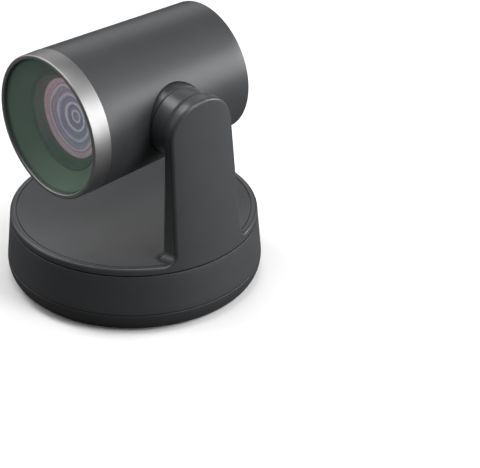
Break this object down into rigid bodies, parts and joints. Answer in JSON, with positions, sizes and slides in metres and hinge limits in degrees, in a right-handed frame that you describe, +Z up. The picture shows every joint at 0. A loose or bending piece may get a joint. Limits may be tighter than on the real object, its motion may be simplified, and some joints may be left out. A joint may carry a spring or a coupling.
{
  "type": "ptz conference camera",
  "caption": "Motorised pan-tilt-zoom camera: drum base, dished turntable with one side arm, and a tilting lens barrel with a satin metal bezel.",
  "frame": {"origin": "centre of the foot, on the surface that the camera stands on", "axes": "+Z up, the lens looks along -Y at rest, the arm stands at +X and the port bay is at +Y"},
  "size_m": [0.152, 0.1512, 0.1618],
  "materials": {
    "body": "satin charcoal paint",
    "lower_cover": "fine-textured moulded plastic",
    "rubber": "matt",
    "bezel": "satin, finely turned",
    "baffle": "ridged anti-glare coating",
    "window_glass": "coated",
    "lens_glass": "purple anti-reflection coating",
    "steel": "brushed",
    "brass": "machined",
    "casting": "as cast",
    "board": "solder mask",
    "black": "moulded",
    "nylon": "moulded"
  },
  "bodies": {
    "base": {"base_shell": "body", "bottom_cover": "lower_cover", "foot_ring": "rubber", "tripod_insert": "brass", "base_screw_1": "steel", "base_screw_2": "steel", "base_screw_3": "steel", "base_screw_4": "steel", "base_screw_5": "steel", "port_bay": "lower_cover", "usb_c_socket": "steel", "hdmi_socket": "steel", "power_jack": "black", "main_board": "board", "chassis": "casting", "pan_bearing_outer": "steel", "pan_motor": "steel"},
    "button": {"pairing_button": "black"},
    "pan_drive": {"pan_pinion": "nylon"},
    "pan_stage": {"turntable_arm": "body", "arm_inner_cover": "body", "arm_screw_1": "steel", "arm_screw_2": "steel", "pan_spindle": "casting", "pan_gear": "nylon", "pan_bearing_inner": "steel", "arm_cable": "black", "tilt_bearing": "steel", "tilt_motor": "steel"},
    "tilt_drive": {"tilt_pinion": "brass"},
    "head": {"trunnion": "body", "tilt_ring_gear": "nylon", "barrel_shell": "body", "rear_cap": "body", "front_bezel": "bezel", "front_window": "window_glass", "light_baffle": "baffle", "front_element": "lens_glass", "lens_tube": "black", "guide_rod_left": "steel", "guide_rod_right": "steel", "lens_cell_ring": "black", "zoom_motor": "steel", "front_bulkhead": "casting", "rear_bulkhead": "casting", "side_rail_lower": "casting", "side_rail_upper": "casting", "image_sensor": "black", "sensor_board": "board", "video_board": "board"},
    "zoom_group": {"zoom_carriage": "black", "zoom_lens": "lens_glass"},
    "focus_group": {"focus_carriage": "black", "focus_lens": "lens_glass"},
    "zoom_cam": {"zoom_cam_ring": "black"},
    "zoom_drive": {"zoom_pinion": "brass"}
  },
  "joints": [
    {"name": "pan", "type": "hinge", "parent": "base", "child": "pan_stage", "pos_m": [0, 0, 0.0287], "axis": [0, 0, 1], "range_deg": [-90, 90]},
    {"name": "pan_pinion_spin", "type": "hinge", "parent": "base", "child": "pan_drive", "pos_m": [0, -0.02574, 0.0224], "axis": [0, 0, 1], "range_deg": [-405, 405]},
    {"name": "tilt", "type": "hinge", "parent": "pan_stage", "child": "head", "pos_m": [0.043, 0, 0.1181], "axis": [-1, 0, 0], "range_deg": [-90, 50]},
    {"name": "tilt_pinion_spin", "type": "hinge", "parent": "pan_stage", "child": "tilt_drive", "pos_m": [0.047, 0, 0.10838], "axis": [-1, 0, 0], "range_deg": [-360, 200]},
    {"name": "zoom_cam_turn", "type": "hinge", "parent": "head", "child": "zoom_cam", "pos_m": [0, -0.015, 0.1181], "axis": [0, 1, 0], "range_deg": [0, 90]},
    {"name": "zoom_slide", "type": "slide", "parent": "head", "child": "zoom_group", "axis": [0, 1, 0], "range_m": [0, 0.02]},
    {"name": "zoom_pinion_spin", "type": "hinge", "parent": "head", "child": "zoom_drive", "pos_m": [-0.0304, -0.0009, 0.13565], "axis": [0, 1, 0], "range_deg": [-720, 0]},
    {"name": "focus_slide", "type": "slide", "parent": "head", "child": "focus_group", "axis": [0, 1, 0], "range_m": [-0.002, 0.002]},
    {"name": "button_press", "type": "slide", "parent": "base", "child": "button", "axis": [0, -1, 0], "range_m": [0, 0.0006], "stiffness_N_per_m": 500}
  ],
  "couplings": [
    {"joint": "pan_pinion_spin", "follows": "pan", "ratio": -4.5},
    {"joint": "tilt_pinion_spin", "follows": "tilt", "ratio": 4},
    {"joint": "zoom_slide", "follows": "zoom_cam_turn", "m_per_rad": 0.012732},
    {"joint": "zoom_pinion_spin", "follows": "zoom_cam_turn", "ratio": -8}
  ]
}
